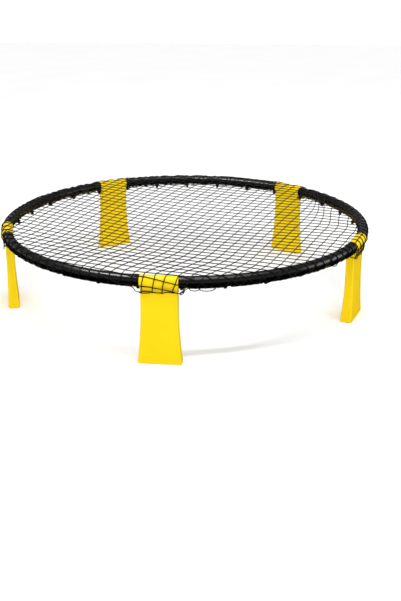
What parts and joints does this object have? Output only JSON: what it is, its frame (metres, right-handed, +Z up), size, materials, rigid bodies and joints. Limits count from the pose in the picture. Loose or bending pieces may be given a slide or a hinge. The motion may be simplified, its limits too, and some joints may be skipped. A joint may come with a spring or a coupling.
{
  "type": "roundnet game net",
  "caption": "Round tube rim standing on short hollow legs that fold inwards, with a knotted square-mesh net stretched over it.",
  "frame": {"origin": "centre of the ring, on the ground that the feet stand on", "axes": "+Z up through the ring's centre; leg_1 stands towards -Y and the other legs follow every 72 degrees, anticlockwise seen from above"},
  "size_m": [0.914, 0.9129, 0.1978],
  "materials": {
    "rim_plastic": "satin",
    "leg_plastic": "satin",
    "net_twine": "matte"
  },
  "bodies": {
    "frame": {"rim_section_1": "rim_plastic", "rim_section_2": "rim_plastic", "rim_section_3": "rim_plastic", "rim_section_4": "rim_plastic", "rim_section_5": "rim_plastic", "net_bed": "net_twine", "net_edge": "net_twine", "net_border_cord": "net_twine"},
    "leg_1": {"leg_1": "leg_plastic"},
    "leg_2": {"leg_2": "leg_plastic"},
    "leg_3": {"leg_3": "leg_plastic"},
    "leg_4": {"leg_4": "leg_plastic"},
    "leg_5": {"leg_5": "leg_plastic"}
  },
  "joints": [
    {"name": "leg_1_fold", "type": "hinge", "parent": "frame", "child": "leg_1", "pos_m": [0, -0.44103, 0.1828], "axis": [1, 0, 0], "range_deg": [0, 80]},
    {"name": "leg_2_fold", "type": "hinge", "parent": "frame", "child": "leg_2", "pos_m": [0.41945, -0.13629, 0.1828], "axis": [0.309, 0.9511, 0], "range_deg": [0, 80]},
    {"name": "leg_3_fold", "type": "hinge", "parent": "frame", "child": "leg_3", "pos_m": [0.25923, 0.3568, 0.1828], "axis": [-0.809, 0.5878, 0], "range_deg": [0, 80]},
    {"name": "leg_4_fold", "type": "hinge", "parent": "frame", "child": "leg_4", "pos_m": [-0.25923, 0.3568, 0.1828], "axis": [-0.809, -0.5878, 0], "range_deg": [0, 80]},
    {"name": "leg_5_fold", "type": "hinge", "parent": "frame", "child": "leg_5", "pos_m": [-0.41945, -0.13629, 0.1828], "axis": [0.309, -0.9511, 0], "range_deg": [0, 80]}
  ]
}
